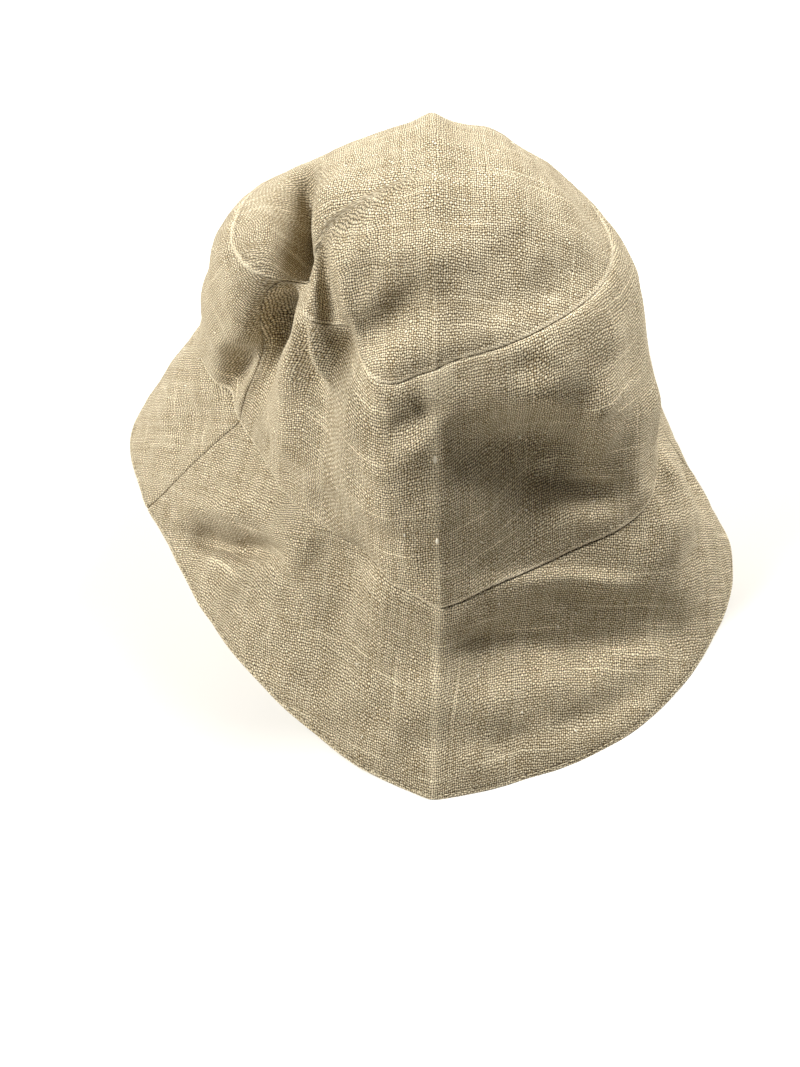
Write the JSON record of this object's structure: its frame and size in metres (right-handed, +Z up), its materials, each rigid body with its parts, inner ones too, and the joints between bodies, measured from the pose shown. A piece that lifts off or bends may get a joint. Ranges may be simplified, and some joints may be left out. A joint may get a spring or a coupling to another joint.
{
  "type": "bucket hat",
  "caption": "Soft linen bucket hat with a domed oval crown, a side band in two halves and a sloping brim, creased down the middle and resting on its brim.",
  "frame": {"origin": "on the surface that the brim rests on, in the middle of the hat's footprint", "axes": "+Z up through the crown, -Y towards the creased front of the brim, +X towards the wearer's left side seam"},
  "size_m": [0.2685, 0.2542, 0.1602],
  "materials": {
    "linen": "natural undyed plain-weave linen, matt"
  },
  "bodies": {
    "root": {"crown_tip": "linen", "band_front": "linen", "band_back": "linen", "brim_front": "linen", "brim_back": "linen"}
  },
  "joints": []
}
